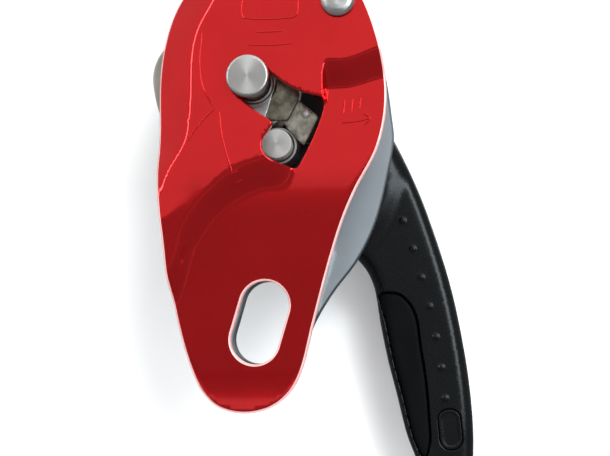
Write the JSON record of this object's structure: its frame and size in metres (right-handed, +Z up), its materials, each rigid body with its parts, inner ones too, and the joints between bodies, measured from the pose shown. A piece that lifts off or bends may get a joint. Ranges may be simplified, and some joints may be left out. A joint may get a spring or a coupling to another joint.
{
  "type": "self-braking rope descender",
  "caption": "Self-braking rope descender: swinging red side plate with slotted ear, rope cam on a mushroom-headed axle, fixed grey plate and a black multi-function handle.",
  "frame": {"origin": "centre of the attachment slot, half way between the two ears", "axes": "+Z up from the slot to the rope exit, -Y the front with the swinging plate, +X to the handle side"},
  "size_m": [0.1043, 0.0567, 0.1809],
  "materials": {
    "red_finish": "glossy red anodised aluminium with a pale polished rim",
    "grey_finish": "satin blue-grey anodised aluminium",
    "steel": "turned and tumbled stainless steel",
    "dark_steel": "stamped steel, oiled",
    "bronze": "sintered bronze",
    "nylon": "moulded black nylon, fine texture",
    "soft_grip": "soft black elastomer",
    "spring_steel": "drawn spring wire"
  },
  "bodies": {
    "frame": {"fixed_side_plate": "grey_finish", "cam_axle": "steel", "axle_collar": "steel", "axle_nut": "steel", "guide_post": "steel", "guide_post_sleeve": "steel", "plate_pivot_rivet": "steel", "plate_pivot_spacer": "steel", "friction_shoe": "steel", "shoe_rivet_1": "steel", "shoe_rivet_2": "steel", "hub_housing": "nylon", "housing_screw_1": "dark_steel", "housing_screw_2": "dark_steel", "housing_screw_3": "dark_steel"},
    "front_plate": {"swinging_side_plate": "red_finish"},
    "cam_body": {"cam": "steel", "cam_cheek": "steel", "cam_bushing": "bronze", "cam_return_spring": "spring_steel", "drive_dog": "dark_steel", "catch_pin": "steel"},
    "catch": {"anti_error_catch": "dark_steel", "catch_stud": "steel"},
    "handle": {"handle_front_shell": "nylon", "handle_rear_shell": "nylon", "handle_arm": "dark_steel", "finger_pad": "soft_grip", "handle_badge": "nylon", "handle_bushing": "bronze", "hub_washer": "steel", "hub_cap": "nylon", "handle_screw_1": "dark_steel", "handle_screw_2": "dark_steel", "handle_screw_3": "dark_steel", "pawl_pin": "steel", "pawl_spring": "spring_steel", "button_spring": "spring_steel"},
    "pawl": {"drive_pawl": "dark_steel"},
    "button": {"progress_button": "nylon"}
  },
  "joints": [
    {"name": "side_plate_swing", "type": "hinge", "parent": "frame", "child": "front_plate", "pos_m": [0.026, 0, 0.1023], "axis": [0, 1, 0], "range_deg": [0, 30]},
    {"name": "cam_pivot", "type": "hinge", "parent": "frame", "child": "cam_body", "pos_m": [-0.0027, 0, 0.0779], "axis": [0, -1, 0], "range_deg": [0, 45], "stiffness_Nm_per_rad": 0.03, "springref_deg": -20.05},
    {"name": "catch_pivot", "type": "hinge", "parent": "cam_body", "child": "catch", "pos_m": [0.0065, 0, 0.0715], "axis": [0, -1, 0], "range_deg": [0, 18], "stiffness_Nm_per_rad": 0.004, "springref_deg": -28.65},
    {"name": "handle_pivot", "type": "hinge", "parent": "frame", "child": "handle", "pos_m": [-0.0027, 0, 0.0779], "axis": [0, -1, 0], "range_deg": [-20, 115]},
    {"name": "pawl_pivot", "type": "hinge", "parent": "handle", "child": "pawl", "pos_m": [-0.0072, 0, 0.0933], "axis": [0, -1, 0], "range_deg": [0, 10], "stiffness_Nm_per_rad": 0.004, "springref_deg": -28.65},
    {"name": "button_press", "type": "slide", "parent": "handle", "child": "button", "axis": [0, -1, 0], "range_m": [0, 0.003], "stiffness_N_per_m": 800, "springref_m": -0.002, "deforming": ["button_spring"]}
  ]
}
